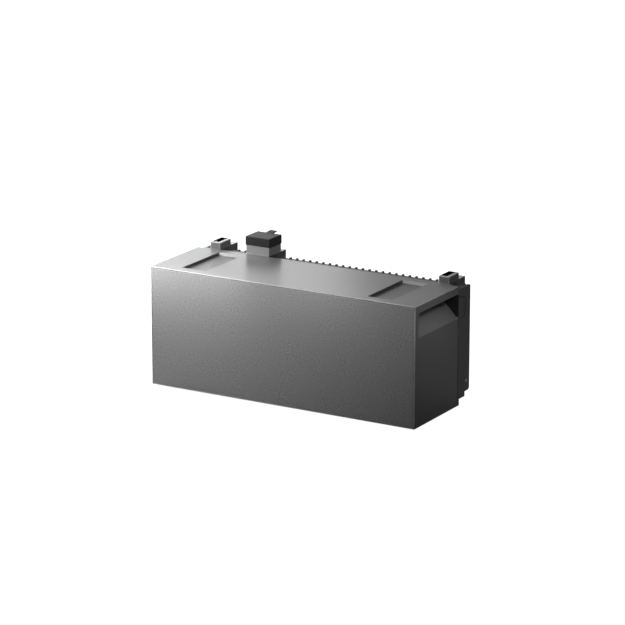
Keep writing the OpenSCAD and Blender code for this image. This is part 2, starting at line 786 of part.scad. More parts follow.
// Slots for the contacts, right through a block
module contact_slots(length) {
    for (x = power_x) translate([x, power_y, 0]) cube([slot_w, slot_l, length], center = true);
    for (x = signal_x) translate([x, signal_y, 0]) cube([pin_w, pin_w, length], center = true);
}
module contact_block() {
    color([0.05, 0.05, 0.05]) place() translate([conn_x, conn_y + conn_l / 2, plateau_z]) difference() {
        union() {
            translate([0, 0, -block_low]) linear_extrude(block_low + 4)
                square([block_w - 2 * block_play, block_l - 2 * block_play], center = true);
            translate([0, 0, shroud_floor]) linear_extrude(block_top - shroud_floor)
                square([block_w + 4, block_l - 1], center = true);
        }
        contact_slots(3 * block_top + block_low);
    }
}
contact_low = plateau_z - block_low - 3;
contact_top = plateau_z + block_top + 6;
module power_contacts() {
    color([0.8, 0.6, 0.3]) place() translate([conn_x, conn_y + conn_l / 2 + power_y, 0]) for (x = power_x)
        box([x - slot_w / 2, -slot_l / 2 + 0.3, contact_low], [x + slot_w / 2, -0.1, contact_top]);
}
module signal_contacts() {
    color([0.8, 0.7, 0.4]) place() translate([conn_x, conn_y + conn_l / 2 + signal_y, 0]) for (x = signal_x)
        box([x - pin_w / 2, -0.6, contact_low], [x + pin_w / 2, -0.1, contact_top]);
}

// Soft cap with a pull tab, seated on the shroud's shoulder
cap_seat = 0.3;
cap_play = 0.3;
// steps of the cap's rounded top edge, inwards and down
cap_edge = [[0, 2.2], [0.6, 0.7], [2.2, 0]];
tab_w = 17;
tab_x = conn_x + 0.7;
tab_l = 16.7;
module connector_cap() {
    w = conn_w + 2 * cap_over;
    l = conn_l + 2 * cap_over_l;
    z0 = plateau_z + conn_h + cap_seat;
    z1 = plateau_z + conn_h + cap_h;
    y = conn_y + conn_l / 2;
    tab_end = y + l / 2 + tab_l;
    color([0.07, 0.07, 0.07]) place() difference() {
        union() {
            hull() {
                for (step = cap_edge) translate([conn_x, y, z0]) linear_extrude(z1 - z0 - step[1])
                    round_rect(w - 2 * step[0], l - 2 * step[0], cap_r - step[0], $fn = 32);
            }
            along_x(tab_x - tab_w / 2, tab_x + tab_w / 2) polygon([
                [y + l / 2 - 12, z1 - 3], [y + l / 2 - 12, z1], [y + l / 2 - 2, z1 + 0.6], [tab_end - 2, z1 + 2.4],
                [tab_end, z1 + 1.4], [tab_end - 1, z1 - 0.2], [y + l / 2 + 2, z1 - 1.8], [y + l / 2 - 2, z1 - 3]
            ]);
        }
        translate([conn_x, y, z0 - 1]) linear_extrude(collar_h - cap_seat + 1 + cap_play)
            round_rect(collar_w + 2 * cap_play, collar_l + 2 * cap_play, collar_r + cap_play);
    }
}

// Plug under the housing that enters the shroud of the module below
plug_play = 0.6;
module bottom_plug() {
    w = shroud_w - 2 * plug_play;
    l = shroud_l - 2 * plug_play;
    z0 = plateau_z + block_top - body_h + 0.8;
    color([0.05, 0.05, 0.05]) place() translate([conn_x, conn_y + conn_l / 2, 0]) difference() {
        union() {
            translate([0, 0, z0]) linear_extrude(well_top - z0) round_rect(w, l, 1.5);
            translate([0, 0, well_top - 6]) linear_extrude(6) round_rect(w + 8, l + 8, 3);
        }
        contact_slots(4 * well_top);
    }
}
module plug_contacts() {
    z0 = plateau_z + block_top - body_h + 3;
    z1 = well_top + pan_t + 4;
    color([0.8, 0.6, 0.3]) place() translate([conn_x, conn_y + conn_l / 2, 0]) {
        for (x = power_x) box([x - slot_w / 2, power_y + 0.1, z0], [x + slot_w / 2, power_y + 1, z1]);
        for (x = signal_x) box([x - pin_w / 2, signal_y + 0.1, z0], [x + pin_w / 2, signal_y + 0.6, z1]);
    }
}

// Stack of prismatic cells, each a sealed can with two posts
function cell_at(i) = -stack_half + cell_t / 2 + i * cell_pitch;
post_y = [stack_y + post_in, stack_y + cell_w - post_in];
module battery_cells() {
    color([0.25, 0.35, 0.5]) place() for (i = [0:cell_count - 1]) translate([cell_at(i), 0, cell_z]) {
        translate([0, stack_y + cell_w / 2, 0]) linear_extrude(cell_h) round_rect(cell_t, cell_w, 3);
        for (y = post_y) translate([0, y, cell_h - 1]) cylinder(r = post_r, h = post_h + 1);
    }
}
spacer_in = 4;
module cell_spacers() {
    color([0.85, 0.85, 0.8]) place() for (i = [0:cell_count - 2])
        box([cell_at(i) + cell_t / 2, stack_y + spacer_in, cell_z],
            [cell_at(i + 1) - cell_t / 2, stack_y + cell_w - spacer_in, cell_z + cell_h]);
}
module base_pad() {
    color([0.3, 0.3, 0.3]) place() box([-stack_half, stack_y + 2, tray_t], [stack_half, stack_y + cell_w - 2, cell_z]);
}

// Ribbed plates that clamp the stack's ends
module end_plates() {
    rib = 4;
    plate_h = cell_h - 6;
    row_z = 46;
    row_pitch = (plate_h - row_z) / 2;
    bay_pitch = (cell_w - rib) / 4;
    color([0.6, 0.6, 0.6]) place() for (s = [-1, 1]) mirror([s > 0 ? 0 : 1, 0, 0]) difference() {
        box([stack_half, stack_y, cell_z], [stack_half + end_t, stack_y + cell_w, cell_z + plate_h]);
        for (i = [0:3], j = [0:1])
            translate([stack_half + end_t - 2.5, stack_y + rib + i * bay_pitch, cell_z + row_z + j * row_pitch])
                cube([3, bay_pitch - rib, row_pitch - 2 * rib]);
    }
}
strap_low = 48;
strap_drop = 22;
strap_z = [cell_z + strap_low, cell_z + cell_h - strap_drop];
module pack_straps() {
    x = stack_half + end_t;
    color([0.7, 0.7, 0.72]) place() for (z = strap_z) difference() {
        box([-x - strap_t, stack_y - strap_t, z - strap_w], [x + strap_t, stack_y + cell_w + strap_t, z]);
        box([-x, stack_y, z - strap_w - 1], [x, stack_y + cell_w, z + 1]);
    }
}

// Angle brackets that hold the stack down to the tray
bracket_w = 9;
bracket_h = 28;
bracket_t = 3;
bracket_in = 25;
module pack_brackets() {
    x = stack_half + end_t;
    z = tray_t;
    color([0.6, 0.6, 0.6]) place() for (s = [-1, 1]) mirror([s > 0 ? 0 : 1, 0, 0])
        along_y(stack_y + bracket_in, stack_y + cell_w - bracket_in) polygon([
            [x, z], [x + bracket_w, z], [x + bracket_w, z + bracket_t],
            [x + bracket_t, z + bracket_t], [x + bracket_t, z + bracket_h], [x, z + bracket_h]
        ]);
}

// Bars that join the cells in series, front and back row in turn
module cell_busbars() {
    color([0.8, 0.5, 0.3]) place() for (i = [0:cell_count - 2])
        box([cell_at(i) - post_r, post_y[i % 2] - busbar_half, lead_z],
            [cell_at(i + 1) + post_r, post_y[i % 2] + busbar_half, lead_z + busbar_t]);
}
sense_in = 30;
sense_edge = 45;
sense_rear = stack_y + cell_w - sense_edge;
module sense_board() {
    color([0.1, 0.35, 0.2]) place() box([-stack_half + sense_in, stack_y + sense_edge, cell_z + cell_h],
        [stack_half - sense_in, sense_rear, cell_z + cell_h + board_t]);
}

// Flat ribbon from the sense board to the management board
ribbon_x = 5 * cell_pitch;
ribbon_half = 7;
ribbon_t = 0.8;
ribbon_end = 20;
module sense_ribbon() {
    z = cell_z + cell_h + board_t;
    y0 = sense_rear - ribbon_end;
    y1 = board_front - ribbon_t;
    low = bms_z[1] - ribbon_end;
    color([0.5, 0.5, 0.55]) place() along_x(ribbon_x - ribbon_half, ribbon_x + ribbon_half) polygon([
        [y0, z], [y1, z], [y1, low], [board_front, low], [board_front, z + ribbon_t], [y0, z + ribbon_t]
    ]);
}

// Electronics on the housing's floor
board_gap = 12;
board_low = 55;
board_drop = 48;
board_half = -conn_x - conn_w / 2 - board_gap;
board_z = [board_low, body_h - board_drop];
gear_w = 40;
gear_l = 46;
bms_gap = 10;
bms_x = [board_half + bms_gap, lead_x - gear_w / 2 - bms_gap];
bms_z = [board_low + 5, cell_z + cell_h - 5];
spreader_in = 20;
spreader_half = board_half - spreader_in;
spreader_z = [board_z[0] + spreader_in, board_z[1] - spreader_in];
module heat_spreader() {
    color([0.7, 0.7, 0.72]) place() box([-spreader_half, pan_floor - spreader_t, spreader_z[0]],
        [spreader_half, pan_floor, spreader_z[1]]);
}
pad_in = 5;
module thermal_pad() {
    y = pan_floor - spreader_t;
    x = spreader_half - pad_in;
    color([0.6, 0.65, 0.75]) place() box([-x, y - gap_pad_t, spreader_z[0] + pad_in], [x, y, spreader_z[1] - pad_in]);
}

// Two rows of flat switches between the pad and the board
switch_w = 16;
switch_h = 21;
switch_in = 15;
switch_count = 6;
switch_pitch = (2 * (spreader_half - switch_in) - switch_w) / (switch_count - 1);
switch_low = 20;
switch_drop = 45;
switch_z = [spreader_z[0] + switch_low, spreader_z[1] - switch_drop];
module power_switches() {
    color([0.08, 0.08, 0.08]) place() for (i = [0:switch_count - 1], z = switch_z)
        translate([switch_in - spreader_half + i * switch_pitch, board_back, z]) cube([switch_w, switch_t, switch_h]);
}
module power_board() {
    color([0.1, 0.3, 0.2]) place() box([-board_half, board_front, board_z[0]], [board_half, board_back, board_z[1]]);
}
module bms_board() {
    color([0.1, 0.3, 0.2]) place() box([bms_x[0], board_front, bms_z[0]], [bms_x[1], board_back, bms_z[1]]);
}

// Ring-shaped inductors in the upper half of the board, capacitors in the lower
coil_r = 27;
coil_bore = 9;
coil_h = 24;
coil_in = 55;
coil_pitch = 65;
coil_drop = 60;
module inductors() {
    color([0.6, 0.4, 0.2]) place() for (i = [0:2]) translate([coil_in - board_half + i * coil_pitch, 0, 0]) difference() {
        rod_y(0, board_z[1] - coil_drop, coil_r, board_front - coil_h, board_front);
        rod_y(0, board_z[1] - coil_drop, coil_bore, board_front - coil_h - 1, board_front + 1);
    }
}
can_r = 12;
can_h = 27;
can_pitch = 31;
can_rise = 43;
can_in = 45;
can_count = floor(2 * (board_half - can_in) / can_pitch) + 1;
module capacitors() {
    color([0.1, 0.1, 0.15]) place() for (i = [0:can_count - 1])
        rod_y((i - (can_count - 1) / 2) * can_pitch, board_z[0] + can_rise, can_r, board_front - can_h, board_front);
}

// Standoffs and screws in the corners of both boards
hole_in = 8;
standoff_r = 4;
standoff_at = concat(
    [for (x = [-board_half + hole_in, board_half - hole_in], z = [board_z[0] + hole_in, board_z[1] - hole_in]) [x, z]],
    [for (x = [bms_x[0] + hole_in, bms_x[1] - hole_in], z = [bms_z[0] + hole_in, bms_z[1] - hole_in]) [x, z]]
);
module board_standoffs() {
    color([0.75, 0.75, 0.75]) place() for (p = standoff_at) rod_y(p[0], p[1], standoff_r, board_back, pan_floor);
}
module board_screws() {
    color([0.75, 0.75, 0.75]) place() for (p = standoff_at) difference() {
        rod_y(p[0], p[1], m4_head_r, board_front - m4_head_h, board_front);
        rod_y(p[0], p[1], m4_head_r * hex_share, board_front - m4_head_h - 1, board_front - 1, $fn = 6);
    }
}

// Switch and fuse that the pack's leads lie on
contactor_h = 60;
fuse_h = 44;
lead_in = 12;
module contactor() {
    color([0.12, 0.12, 0.12]) place() box([-lead_x - gear_w / 2, pan_floor - gear_l, lead_z - contactor_h],
        [-lead_x + gear_w / 2, pan_floor, lead_z]);
}
module main_fuse() {
    color([0.8, 0.8, 0.75]) place() box([lead_x - gear_w / 2, pan_floor - gear_l, lead_z - fuse_h],
        [lead_x + gear_w / 2, pan_floor, lead_z]);
}
module pack_leads() {
    color([0.8, 0.5, 0.3]) place() for (s = [-1, 1])
        box([s * lead_x - busbar_half, post_y[1] - busbar_half, lead_z],
            [s * lead_x + busbar_half, pan_floor - lead_in, lead_z + busbar_t]);
}

// Flat bars between the switch, the fuse and the board
bar_end = 15;
bar_side = 40;
module board_bars() {
    y0 = board_front - bar_t;
    left_x = -lead_x - bar_w / 2;
    left_z = board_z[0] + 23;
    right_x = lead_x + bar_w / 2;
    right_z = board_z[0] + 1;
    end_x = board_half - bar_side;
    end_z = board_z[0] + 12;
    color([0.8, 0.5, 0.3]) place() {
        along_y(y0, board_front) polygon([
            [left_x, lead_z - contactor_h], [left_x, left_z - bar_w], [bar_end - board_half, left_z - bar_w],
            [bar_end - board_half, left_z], [left_x + bar_w, left_z], [left_x + bar_w, lead_z - contactor_h]
        ]);
        along_y(y0, board_front) polygon([
            [right_x, lead_z - fuse_h], [right_x, right_z - bar_w], [end_x, right_z - bar_w], [end_x, end_z],
            [end_x + bar_w, end_z], [end_x + bar_w, right_z], [right_x - bar_w, right_z], [right_x - bar_w, lead_z - fuse_h]
        ]);
    }
}

// Flat bars from the board up to the contacts, one inside the other
module output_bars() {
    end_x = bar_end + 5 - board_half;
    half = bar_w / 2 - 0.5;
    rise = 14;
    color([0.8, 0.5, 0.3]) place() for (i = [0:2]) {
        x = conn_x + power_x[i];
        z = board_z[1] - coil_drop + rise * i;
        along_y(board_front - bar_t, board_front) polygon([
            [x - half, contact_low], [x - half, z], [end_x, z], [end_x, z + bar_w],
            [x + half, z + bar_w], [x + half, contact_low]
        ]);
    }
}

front_panel();
top_cover();
left_side_cover();
right_side_cover();
bottom_tray();
stacking_feet();
foot_screws();
tray_screws();
rear_frame();
rear_gasket();
rear_housing();
rear_screws();
side_plugs();
earth_screws();
breather_vent();
left_guide_socket();
right_guide_socket();
guide_liners();
guide_screws();
guide_pins();
connector_base();
contact_block();
power_contacts();
signal_contacts();
connector_cap();
bottom_plug();
plug_contacts();
battery_cells();
cell_spacers();
end_plates();
pack_straps();
base_pad();
pack_brackets();
cell_busbars();
sense_board();
sense_ribbon();
heat_spreader();
thermal_pad();
power_switches();
power_board();
inductors();
capacitors();
bms_board();
board_standoffs();
board_screws();
contactor();
main_fuse();
pack_leads();
board_bars();
output_bars();
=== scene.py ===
"""Dresses a home battery expansion module: coats, rubber, moulded plastic and a plain studio."""
import math

import bmesh
import bpy
from mathutils import Matrix, Vector


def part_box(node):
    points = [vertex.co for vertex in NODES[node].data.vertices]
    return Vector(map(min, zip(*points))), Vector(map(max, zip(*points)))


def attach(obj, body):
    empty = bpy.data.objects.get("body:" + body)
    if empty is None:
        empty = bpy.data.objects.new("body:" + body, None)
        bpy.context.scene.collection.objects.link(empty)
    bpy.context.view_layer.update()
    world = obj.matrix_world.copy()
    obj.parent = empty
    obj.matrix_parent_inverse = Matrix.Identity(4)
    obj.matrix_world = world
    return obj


bl_info = {
    "name": "Battery Module Dressing",
    "version": (1, 0, 0),
    "blender": (4, 5, 0),
    "location": "View3D > Sidebar > Battery Module",
    "description": "Coats, mouldings and studio for a stackable home battery module",
    "category": "Object",
}

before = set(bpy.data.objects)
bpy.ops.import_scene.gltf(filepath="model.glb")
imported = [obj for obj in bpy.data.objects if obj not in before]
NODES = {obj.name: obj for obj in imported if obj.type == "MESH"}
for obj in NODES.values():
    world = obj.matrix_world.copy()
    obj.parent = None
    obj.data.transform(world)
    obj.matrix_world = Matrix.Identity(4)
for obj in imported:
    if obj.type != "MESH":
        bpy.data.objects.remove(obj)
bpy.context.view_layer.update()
BODY = "root"

# Bands of a surface: painted shade in the pockets, painted highlights on edges and rims, paler column
# tops; an axis, and two distances along it in metres
UP = (0.0, 0.0, 1.0)
BACK = (0.0, 1.0, 0.0)
SHADED_POCKETS = (UP, 0.2720, 0.2779)
FRONT_EDGE_HIGHLIGHT = (BACK, -0.1410, -0.1388)
COLUMN_TOPS = (UP, 0.2775, 0.2785)
GUIDE_RIM_HIGHLIGHT = (UP, 0.2918, 0.2932)

# Colours of those bands and of the painted highlight on bevels and leaning walls; shares of a colour or
# grain
EDGE_HIGHLIGHT_GREY = (0.85, 0.85, 0.85)
COLUMN_TOP_GREY = (0.62, 0.62, 0.62)
RIM_HIGHLIGHT_GREY = (0.55, 0.55, 0.55)
PAINTED_HIGHLIGHT = (0.80, 0.80, 0.80)
POCKET_PAINTED_SHADE = 0.62
PLUG_SHADE = 0.9
COVER_GRAIN = 0.4

# Textures: how many features a metre holds, and what a texture's 0 to 1 is stretched to
DRIFTS = 3.0
PATCHES = 22.0
PATCH_STRENGTH = (-0.7, 2.7)
LEAST_PATCH = 0.3
FLOWS = 28.0
LINES = (60.0, 1400.0, 1400.0)
METAL_ROUGHNESS = (0.25, 0.45)

# Largest part of a unit normal: from SQUARE up a face gets no painted highlight, and from LEANING down it
# gets it in full
SQUARE = 0.97
LEANING = 0.90

# Depth of the bumps in metres, and how far roughness swings to either side
COAT_RELIEF, SKIN_RELIEF, LINE_RELIEF = 0.00008, 0.00006, 0.00003
COAT_SWING, SKIN_SWING = 0.05, 0.06

# Added trim in metres: the key's face, placed from the liners' low corner, and the pull tab's ribs
TRIM_RADIUS = 0.0004
KEY_SIZE = (0.0033, 0.0055, 0.0077)
KEY_PLACE = (0.0087, 0.0041, 0.0078)
RIB_SIZE = (0.0130, 0.0013, 0.0013)
RIB_X, FIRST_RIB_Y, RIB_PITCH, TAB_TOP = -0.1815, 0.1215, 0.0032, 0.3181
RIB_COUNT = 4

# Studio: the surround's strength in reflections, the floor, and where the picture's centre lies, in
# metres to the right of and above the middle of the front bottom edge
GLOSSY_SHARE = 0.1
FLOOR_GREY = (0.35, 0.35, 0.35, 1.0)
FLOOR_RADIUS = 14.0
PICTURE_RIGHT, PICTURE_UP = 0.0712, 0.2055

# Name, place, aim, size, spread in degrees and power: large boxes behind for the cover, and small
# strips near the front
SOFT_BOXES = (
    ("RearLeftFar", (-3.0, 1.2, 1.0), (0.0, 0.0, 0.27), (1.5, 1.5), 180, 108.8),
    ("RearLeft", (-1.6, 1.8, 0.9), (-0.2, 0.0, 0.27), (1.2, 1.2), 180, 6.33),
    ("RearLeftLow", (-1.9, 2.6, 0.45), (-0.2, 0.0, 0.27), (0.9, 0.6), 180, 5.21),
    ("RearMiddle", (-0.6, 2.4, 0.9), (0.0, 0.0, 0.27), (1.2, 1.2), 180, 0.934),
    ("Overhead", (0.0, 0.1, 1.5), (0.0, 0.0, 0.27), (1.2, 0.8), 180, 1.867),
    ("OverLeft", (-0.5, 0.1, 0.7), (-0.3, 0.0, 0.27), (0.4, 0.4), 180, 1.908),
    ("GuideStrip", (-0.38, -0.12, 0.42), (-0.25, 0.07, 0.285), (0.15, 0.05), 120, 0.070),
    ("StripLeft", (-0.45, -0.30, 0.42), (-0.33, -0.14, 0.15), (0.30, 0.10), 180, 0.152),
    ("StripCorner", (-0.42, -0.24, 0.36), (-0.34, -0.14, 0.22), (0.12, 0.06), 180, 0.458),
    ("StripNear", (-0.20, -0.20, 0.36), (-0.20, -0.14, 0.18), (0.20, 0.05), 100, 0.072),
    ("StripMiddle", (0.0, -0.30, 0.42), (0.0, -0.14, 0.15), (0.30, 0.10), 180, 0.347),
    ("StripRight", (0.18, -0.24, 0.42), (0.15, -0.14, 0.15), (0.20, 0.05), 180, 0.068),
    ("SideStrip", (0.60, -0.25, 0.50), (0.335, -0.05, 0.24), (0.12, 0.12), 50, 0.034),
    ("SideTop", (0.55, -0.05, 0.75), (0.335, -0.05, 0.27), (0.15, 0.15), 60, 0.013),
)


# Settings
class CoatSettings(bpy.types.PropertyGroup):
    front: bpy.props.FloatVectorProperty(
        name="Front panel", description="Powder coat of the front panel",
        subtype="COLOR", size=3, min=0, max=1, default=(0.480, 0.480, 0.484))
    cover: bpy.props.FloatVectorProperty(
        name="Top cover", description="Coat of the top cover",
        subtype="COLOR", size=3, min=0, max=1, default=(0.20, 0.20, 0.203))
    side: bpy.props.FloatVectorProperty(
        name="Side covers", description="Coat of the side covers and the tray",
        subtype="COLOR", size=3, min=0, max=1, default=(0.198, 0.198, 0.201))
    casting: bpy.props.FloatVectorProperty(
        name="Rear housing", description="Coat of the die-cast rear housing",
        subtype="COLOR", size=3, min=0, max=1, default=(0.124, 0.124, 0.127))
    grain: bpy.props.FloatProperty(
        name="Grain", description="Size of the powder coat's speckle",
        subtype="DISTANCE", unit="LENGTH", min=0.0005, max=0.01, default=0.0036)


class MouldingSettings(bpy.types.PropertyGroup):
    grey: bpy.props.FloatVectorProperty(
        name="Grey plastic", description="Stacking guides",
        subtype="COLOR", size=3, min=0, max=1, default=(0.23, 0.23, 0.235))
    shroud: bpy.props.FloatVectorProperty(
        name="Shroud plastic", description="Shroud round the connector",
        subtype="COLOR", size=3, min=0, max=1, default=(0.42, 0.42, 0.425))
    black: bpy.props.FloatVectorProperty(
        name="Black plastic", description="Socket liners, contact blocks and vent",
        subtype="COLOR", size=3, min=0, max=1, default=(0.012, 0.012, 0.012))
    key: bpy.props.FloatVectorProperty(
        name="Key plastic", description="Key in the left guide's mouth",
        subtype="COLOR", size=3, min=0, max=1, default=(0.5, 0.5, 0.5))
    rubber: bpy.props.FloatVectorProperty(
        name="Cap rubber", description="Connector cap",
        subtype="COLOR", size=3, min=0, max=1, default=(0.026, 0.026, 0.027))


class StudioSettings(bpy.types.PropertyGroup):
    azimuth: bpy.props.FloatProperty(
        name="Camera azimuth", description="Turn of the camera round the module",
        subtype="ANGLE", unit="ROTATION", default=math.radians(30.42))
    elevation: bpy.props.FloatProperty(
        name="Camera elevation", description="Height of the camera as an angle",
        subtype="ANGLE", unit="ROTATION", default=math.radians(15.74))
    distance: bpy.props.FloatProperty(
        name="Camera distance", description="Distance along the view from the front bottom edge",
        subtype="DISTANCE", unit="LENGTH", min=1, max=20, default=7.155)
    focal: bpy.props.FloatProperty(
        name="Focal length", description="Camera focal length in millimetres",
        min=20, max=400, default=187.9)
    light: bpy.props.FloatProperty(
        name="Light level", description="Scales every lamp", min=0, max=4, default=1.0)


# Node helpers
def node_group(name, inputs, outputs):
    """Empty shader group with named value inputs and outputs."""
    tree = bpy.data.node_groups.new(name, "ShaderNodeTree")
    for label, kind, value in inputs:
        socket = tree.interface.new_socket(label, in_out="INPUT", socket_type=kind)
        if value is not None:
            socket.default_value = value
    for label, kind in outputs:
        tree.interface.new_socket(label, in_out="OUTPUT", socket_type=kind)
    return tree, tree.nodes.new("NodeGroupInput"), tree.nodes.new("NodeGroupOutput")


def feed(tree, socket, value):
    """Links another socket to an input, or sets it to a number."""
    if isinstance(value, bpy.types.NodeSocket):
        tree.links.new(value, socket)
    else:
        socket.default_value = value


def maths(tree, operation, a, b, clamp=False):
    """Math node fed with sockets or numbers."""
    node = tree.nodes.new("ShaderNodeMath")
    node.operation = operation
    node.use_clamp = clamp
    feed(tree, node.inputs[0], a)
    feed(tree, node.inputs[1], b)
    return node.outputs[0]


def scaled(tree, value, low, high):
    """Stretches a 0 to 1 value to low..high."""
    node = tree.nodes.new("ShaderNodeMapRange")
    tree.links.new(value, node.inputs["Value"])
    node.inputs["To Min"].default_value = low
    node.inputs["To Max"].default_value = high
    return node.outputs[0]


def noise(tree, vector, scale, detail, rough):
    """Noise texture on a vector; scale is a number or a socket."""
    node = tree.nodes.new("ShaderNodeTexNoise")
    tree.links.new(vector, node.inputs["Vector"])
    feed(tree, node.inputs["Scale"], scale)
    node.inputs["Detail"].default_value = detail
    node.inputs["Roughness"].default_value = rough
    return node.outputs["Fac"]


def swing(tree, value, amount):
    """A 0 to 1 value turned into a swing round zero, times an amount."""
    return maths(tree, "MULTIPLY", maths(tree, "SUBTRACT", value, 0.5), amount)


def powder_grain_group():
    """Fine orange peel and speckle of a baked powder coat."""
    tree, pin, pout = node_group(
        "PowderGrain",
        [("Vector", "NodeSocketVector", None), ("Grain Scale", "NodeSocketFloat", 420.0),
         ("Speckle", "NodeSocketFloat", 0.1), ("Drift", "NodeSocketFloat", 0.04)],
        [("Shade", "NodeSocketFloat"), ("Height", "NodeSocketFloat")])
    place = pin.outputs["Vector"]
    fine = noise(tree, place, pin.outputs["Grain Scale"], detail=3.0, rough=0.65)
    coarse = noise(tree, place, DRIFTS, detail=2.0, rough=0.5)
    # the speckle comes and goes in patches a few centimetres wide
    patch = scaled(tree, noise(tree, place, PATCHES, detail=1.0, rough=0.5), *PATCH_STRENGTH)
    strength = maths(tree, "MAXIMUM", patch, LEAST_PATCH)
    speck = maths(tree, "MULTIPLY", swing(tree, fine, strength), pin.outputs["Speckle"])
    drift = swing(tree, coarse, pin.outputs["Drift"])
    tree.links.new(maths(tree, "ADD", maths(tree, "ADD", speck, drift), 1.0), pout.inputs["Shade"])
    tree.links.new(fine, pout.inputs["Height"])
    return tree


def painted_highlight_group():
    """Marks narrow bevels and leaning walls, the faces that lie square to none of the three axes, where a
    highlight is painted.
    """
    tree, pin, pout = node_group(
        "PaintedHighlight",
        [("Amount", "NodeSocketFloat", 0.3)],
        [("Mask", "NodeSocketFloat")])
    geometry = tree.nodes.new("ShaderNodeNewGeometry")
    positive = tree.nodes.new("ShaderNodeVectorMath")
    positive.operation = "ABSOLUTE"
    tree.links.new(geometry.outputs["True Normal"], positive.inputs[0])
    parts = tree.nodes.new("ShaderNodeSeparateXYZ")
    tree.links.new(positive.outputs[0], parts.inputs[0])
    x, y, z = parts.outputs
    largest = maths(tree, "MAXIMUM", maths(tree, "MAXIMUM", x, y), z)
    leaning = tree.nodes.new("ShaderNodeMapRange")
    leaning.inputs["From Min"].default_value = SQUARE
    leaning.inputs["From Max"].default_value = LEANING
    tree.links.new(largest, leaning.inputs["Value"])
    mask = maths(tree, "MULTIPLY", leaning.outputs[0], pin.outputs["Amount"], clamp=True)
    tree.links.new(mask, pout.inputs["Mask"])
    return tree


def layer_group():
    """Marks what lies between two distances along an axis, such as a pocket's floor or a front edge."""
    tree, pin, pout = node_group(
        "Layer",
        [("Vector", "NodeSocketVector", None), ("Axis", "NodeSocketVector", (0.0, 0.0, 1.0)),
         ("Low", "NodeSocketFloat", 0.0), ("High", "NodeSocketFloat", 0.1)],
        [("Mask", "NodeSocketFloat")])
    along = tree.nodes.new("ShaderNodeVectorMath")
    along.operation = "DOT_PRODUCT"
    tree.links.new(pin.outputs["Vector"], along.inputs[0])
    tree.links.new(pin.outputs["Axis"], along.inputs[1])
    above = maths(tree, "GREATER_THAN", along.outputs["Value"], pin.outputs["Low"])
    below = maths(tree, "LESS_THAN", along.outputs["Value"], pin.outputs["High"])
    tree.links.new(maths(tree, "MULTIPLY", above, below), pout.inputs["Mask"])
    return tree


def mould_grain_group():
    """Spark-eroded skin of a moulding, with faint flow shading."""
    tree, pin, pout = node_group(
        "MouldGrain",
        [("Vector", "NodeSocketVector", None), ("Grain Scale", "NodeSocketFloat", 900.0),
         ("Contrast", "NodeSocketFloat", 0.08)],
        [("Shade", "NodeSocketFloat"), ("Height", "NodeSocketFloat")])
    cells = tree.nodes.new("ShaderNodeTexVoronoi")
    tree.links.new(pin.outputs["Vector"], cells.inputs["Vector"])
    tree.links.new(pin.outputs["Grain Scale"], cells.inputs["Scale"])
    flow = noise(tree, pin.outputs["Vector"], FLOWS, detail=3.0, rough=0.5)
    shade = swing(tree, flow, pin.outputs["Contrast"])
    tree.links.new(maths(tree, "ADD", shade, 1.0), pout.inputs["Shade"])
    tree.links.new(cells.outputs["Distance"], pout.inputs["Height"])
    return tree


def drawn_lines_group():
    """Fine drawn lines along one direction of a bare metal."""
    tree, pin, pout = node_group(
        "DrawnLines",
        [("Vector", "NodeSocketVector", None), ("Contrast", "NodeSocketFloat", 0.12)],
        [("Shade", "NodeSocketFloat"), ("Roughness", "NodeSocketFloat"), ("Height", "NodeSocketFloat")])
    stretch = tree.nodes.new("ShaderNodeMapping")
    stretch.inputs["Scale"].default_value = LINES
    tree.links.new(pin.outputs["Vector"], stretch.inputs["Vector"])
    lines = noise(tree, stretch.outputs[0], 1.0, detail=2.0, rough=0.6)
    shade = swing(tree, lines, pin.outputs["Contrast"])
    tree.links.new(maths(tree, "ADD", shade, 1.0), pout.inputs["Shade"])
    tree.links.new(scaled(tree, lines, *METAL_ROUGHNESS), pout.inputs["Roughness"])
    tree.links.new(lines, pout.inputs["Height"])
    return tree


GROUP_MAKERS = {
    "PowderGrain": powder_grain_group,
    "PaintedHighlight": painted_highlight_group,
    "Layer": layer_group,
    "MouldGrain": mould_grain_group,
    "DrawnLines": drawn_lines_group,
}


def group_node(tree, name, **values):
    """Places a shared group in a material, with its own input values."""
    node = tree.nodes.new("ShaderNodeGroup")
    node.node_tree = bpy.data.node_groups.get(name) or GROUP_MAKERS[name]()
    for label, value in values.items():
        node.inputs[label.replace("_", " ")].default_value = value
    if "Vector" in node.inputs:
        place = tree.nodes.new("ShaderNodeTexCoord")
        tree.links.new(place.outputs["Object"], node.inputs["Vector"])
    return node


def blank_material(name, colour):
    """Material with a bare Principled shader, and its colour in the viewport."""
    material = bpy.data.materials.new(name)
    material.use_nodes = True
    material.diffuse_color = (*colour, 1.0)
    return material, material.node_tree, material.node_tree.nodes["Principled BSDF"]


def colour_mix(tree):
    """Mix node for colours, with its two colour inputs and its result."""
    mix = tree.nodes.new("ShaderNodeMix")
    mix.data_type = "RGBA"
    return mix, mix.inputs[6], mix.inputs[7], mix.outputs[2]


def tinted(tree, shade, colour):
    """Colour multiplied by a shade value."""
    mix, first, second, result = colour_mix(tree)
    mix.blend_type = "MULTIPLY"
    mix.inputs["Factor"].default_value = 1.0
    first.default_value = (*colour, 1.0)
    grey = tree.nodes.new("ShaderNodeCombineColor")
    for channel in grey.inputs[:3]:
        tree.links.new(shade, channel)
    tree.links.new(grey.outputs[0], second)
    return result


def covered(tree, mask, under, over):
    """Colour under, with a plain colour laid over it where the mask is on."""
    mix, first, second, result = colour_mix(tree)
    tree.links.new(mask, mix.inputs["Factor"])
    tree.links.new(under, first)
    second.default_value = (*over, 1.0)
    return result


def darker(colour, share):
    """A setting's colour times a share."""
    return tuple(share * value for value in colour)


